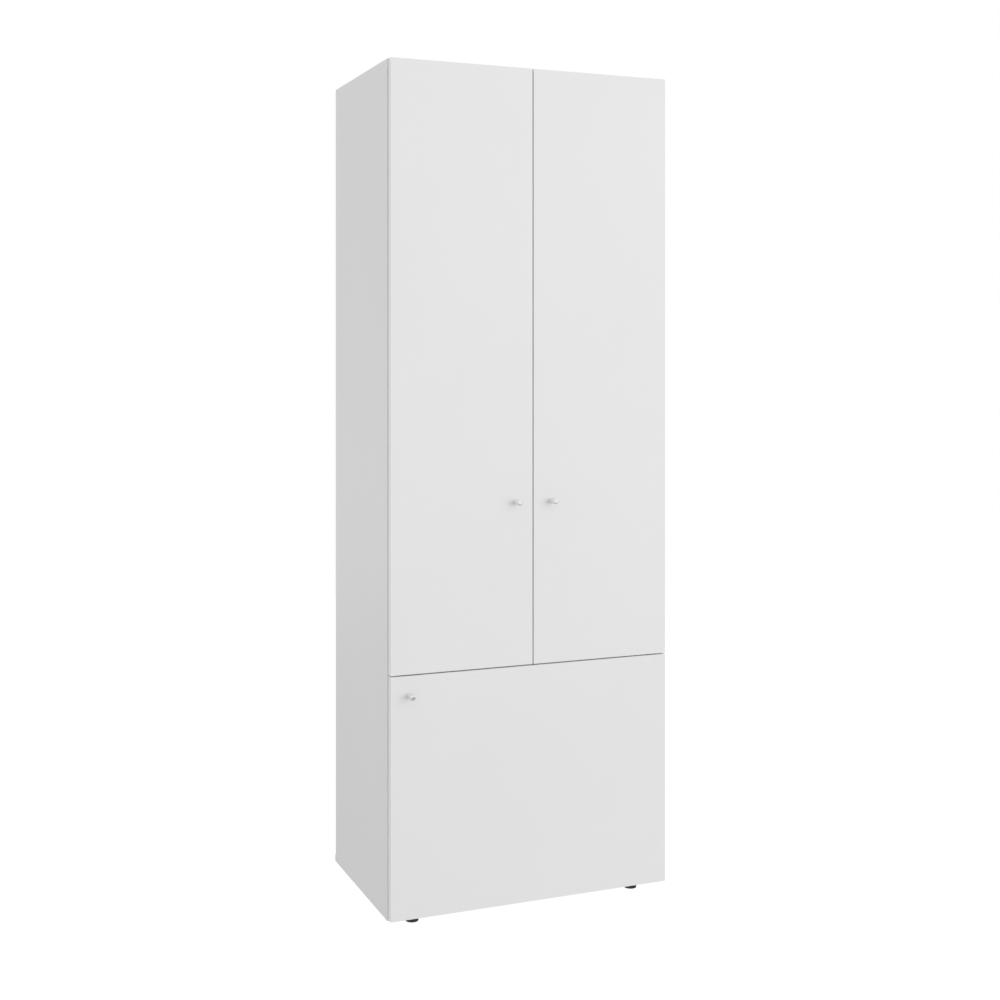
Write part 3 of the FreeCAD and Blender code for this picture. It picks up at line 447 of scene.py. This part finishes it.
def make_floor():
    """Round floor: white to the camera, softer as a light and softer still in reflections."""
    mesh = bpy.data.meshes.new("floor")
    rim = []
    for step in range(FLOOR_SEGMENTS):
        angle = 2 * math.pi * step / FLOOR_SEGMENTS
        rim.append((FLOOR_RADIUS * math.cos(angle), FLOOR_RADIUS * math.sin(angle), 0))
    mesh.from_pydata(rim, [], [tuple(range(FLOOR_SEGMENTS))])
    floor = bpy.data.objects.new("floor", mesh)
    bpy.context.scene.collection.objects.link(floor)
    pale = Finish("pale_floor", Base_Color=grey(FLOOR_TONE), Roughness=0.9, Specular_IOR_Level=0.2,
                  Emission_Color=WHITE, Emission_Strength=FLOOR_EMISSION)
    glow = pale.node("ShaderNodeEmission")
    mix = pale.node("ShaderNodeMixShader")
    path = pale.node("ShaderNodeLightPath")
    pale.join(glow.inputs["Color"],
              pale.tint(path.outputs["Is Glossy Ray"], grey(FLOOR_GLOW), grey(FLOOR_MIRRORED)))
    pale.join(mix.inputs[0], path.outputs["Is Camera Ray"])
    pale.join(mix.inputs[1], glow.outputs[0])
    pale.join(mix.inputs[2], pale.shader.outputs[0])
    pale.join(pale.tree.nodes["Material Output"].inputs["Surface"], mix.outputs[0])
    mesh.materials.append(pale.material)


def make_world():
    """Surroundings: white to the camera and in reflections, softer as a light."""
    world = bpy.data.worlds.new("studio")
    bpy.context.scene.world = world
    world.use_nodes = True
    tree = world.node_tree
    tree.nodes.clear()
    output = tree.nodes.new("ShaderNodeOutputWorld")
    mix = tree.nodes.new("ShaderNodeMixShader")
    path = tree.nodes.new("ShaderNodeLightPath")
    seen = tree.nodes.new("ShaderNodeMath")
    seen.operation = "MAXIMUM"
    tree.links.new(path.outputs["Is Camera Ray"], seen.inputs[0])
    tree.links.new(path.outputs["Is Glossy Ray"], seen.inputs[1])
    tree.links.new(seen.outputs[0], mix.inputs[0])
    for socket, strength in ((1, SURROUNDINGS_GLOW), (2, SURROUNDINGS_SEEN)):
        shade = tree.nodes.new("ShaderNodeBackground")
        shade.inputs["Color"].default_value = WHITE
        shade.inputs["Strength"].default_value = strength
        tree.links.new(shade.outputs[0], mix.inputs[socket])
    tree.links.new(mix.outputs[0], output.inputs["Surface"])


def make_light(name, place, target, size, power):
    """Square soft light, size in metres and power in watts, turned to a target and not seen itself."""
    light = bpy.data.lights.new(name, "AREA")
    light.shape = "SQUARE"
    light.size = size
    light.energy = power
    lamp = bpy.data.objects.new(name, light)
    bpy.context.scene.collection.objects.link(lamp)
    lamp.location = place
    lamp.visible_camera = False
    lamp.visible_glossy = False
    lamp.rotation_euler = (Vector(target) - Vector(place)).to_track_quat("-Z", "Y").to_euler()


# Camera, placed from the lower door's lower left front corner and turned about the vertical.
# The turn is in degrees, the sensor and the lens are in millimetres.
CAMERA_OFFSET = (-1.157, -3.567, 1.4445)
CAMERA_TURN = -22.253
SENSOR_WIDTH = 36.0
FOCAL_LENGTH = 52.61
LENS_SHIFT = -0.1417
FAR_CLIP = 200.0


def make_camera():
    """Level camera to the left of the wardrobe, at about two thirds of its height."""
    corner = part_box("lower_door")[0]
    data = bpy.data.cameras.new("camera")
    data.sensor_width = SENSOR_WIDTH
    data.lens = FOCAL_LENGTH
    data.shift_y = LENS_SHIFT
    data.clip_end = FAR_CLIP
    camera = bpy.data.objects.new("camera", data)
    bpy.context.scene.collection.objects.link(camera)
    camera.location = corner + Vector(CAMERA_OFFSET)
    camera.rotation_euler = (math.radians(90), 0, math.radians(CAMERA_TURN))
    bpy.context.scene.camera = camera


dress_nodes()
for foot_name in FEET:
    make_pad(foot_name)
    make_spindle(foot_name)
make_floor()
make_world()
make_light("key", place=(3.2, -6.4, 2.4), target=(0, 0, 1.5), size=4.6, power=131)
make_light("low_fill", place=(-1.6, 0.05, 0.2), target=(-0.4, 0.05, 0.2), size=1.0, power=1.5)
make_camera()
bpy.context.scene.view_settings.view_transform = "Standard"
